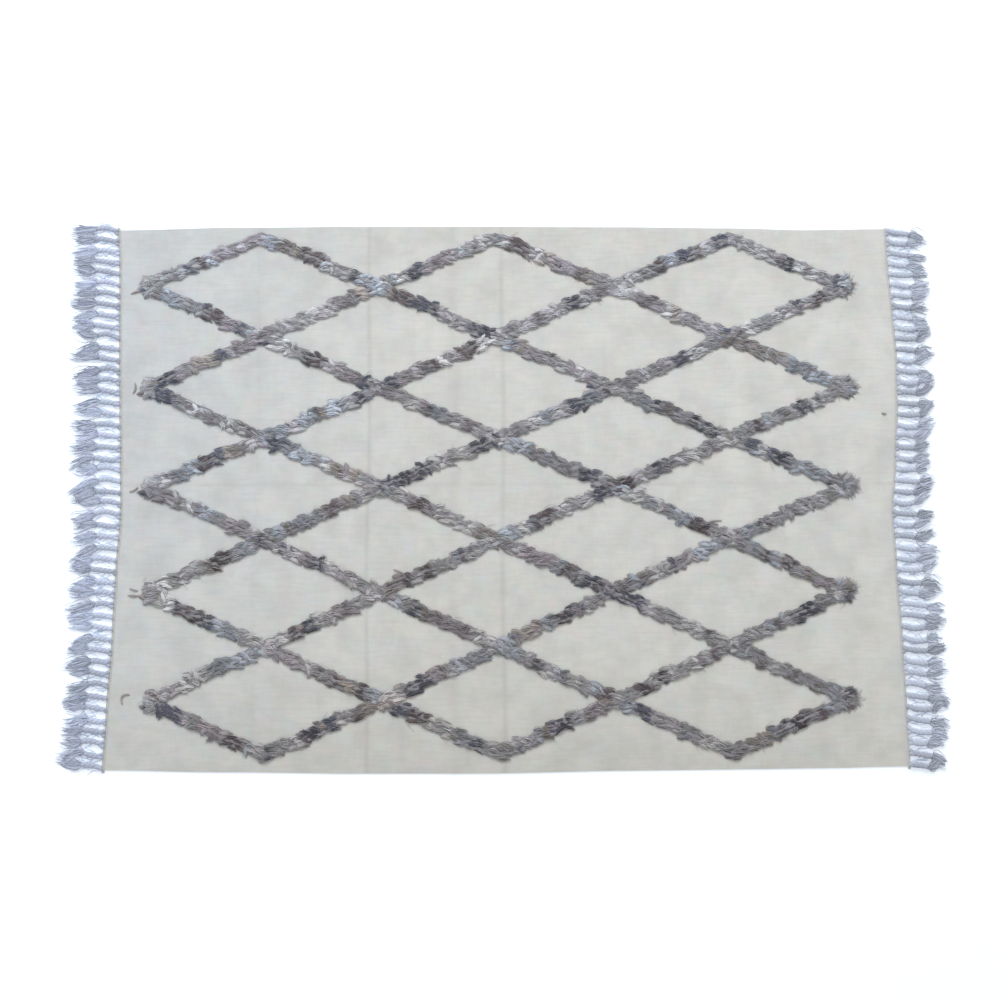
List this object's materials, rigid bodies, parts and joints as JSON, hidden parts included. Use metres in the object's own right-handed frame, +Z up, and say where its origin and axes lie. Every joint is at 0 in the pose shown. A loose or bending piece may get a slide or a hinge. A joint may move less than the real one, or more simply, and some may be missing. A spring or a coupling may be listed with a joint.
{
  "type": "kilim rug",
  "caption": "Flat rectangular wool kilim rug: cream flatweave ground, raised shaggy lattice of grey diamonds and a knotted warp fringe along each short end.",
  "frame": {"origin": "on the floor, under the middle of the flatweave ground", "axes": "+X along the warps, from one fringed end to the other; +Y across the rug, away from the viewer of the picture; +Z up, out of the face with the pile"},
  "size_m": [2.2425, 1.407, 0.0161],
  "materials": {
    "ground_wool": "matte ribbed flatweave, undyed cream wool with darker flecks",
    "pile_wool": "matte loose yarn locks in mixed pale grey, blue-grey, charcoal and grey-brown",
    "fringe_wool": "matte plied yarn, pale lavender grey"
  },
  "bodies": {
    "root": {"ground": "ground_wool", "pile_lattice": "pile_wool", "fringe_left": "fringe_wool", "fringe_right": "fringe_wool"}
  },
  "joints": []
}
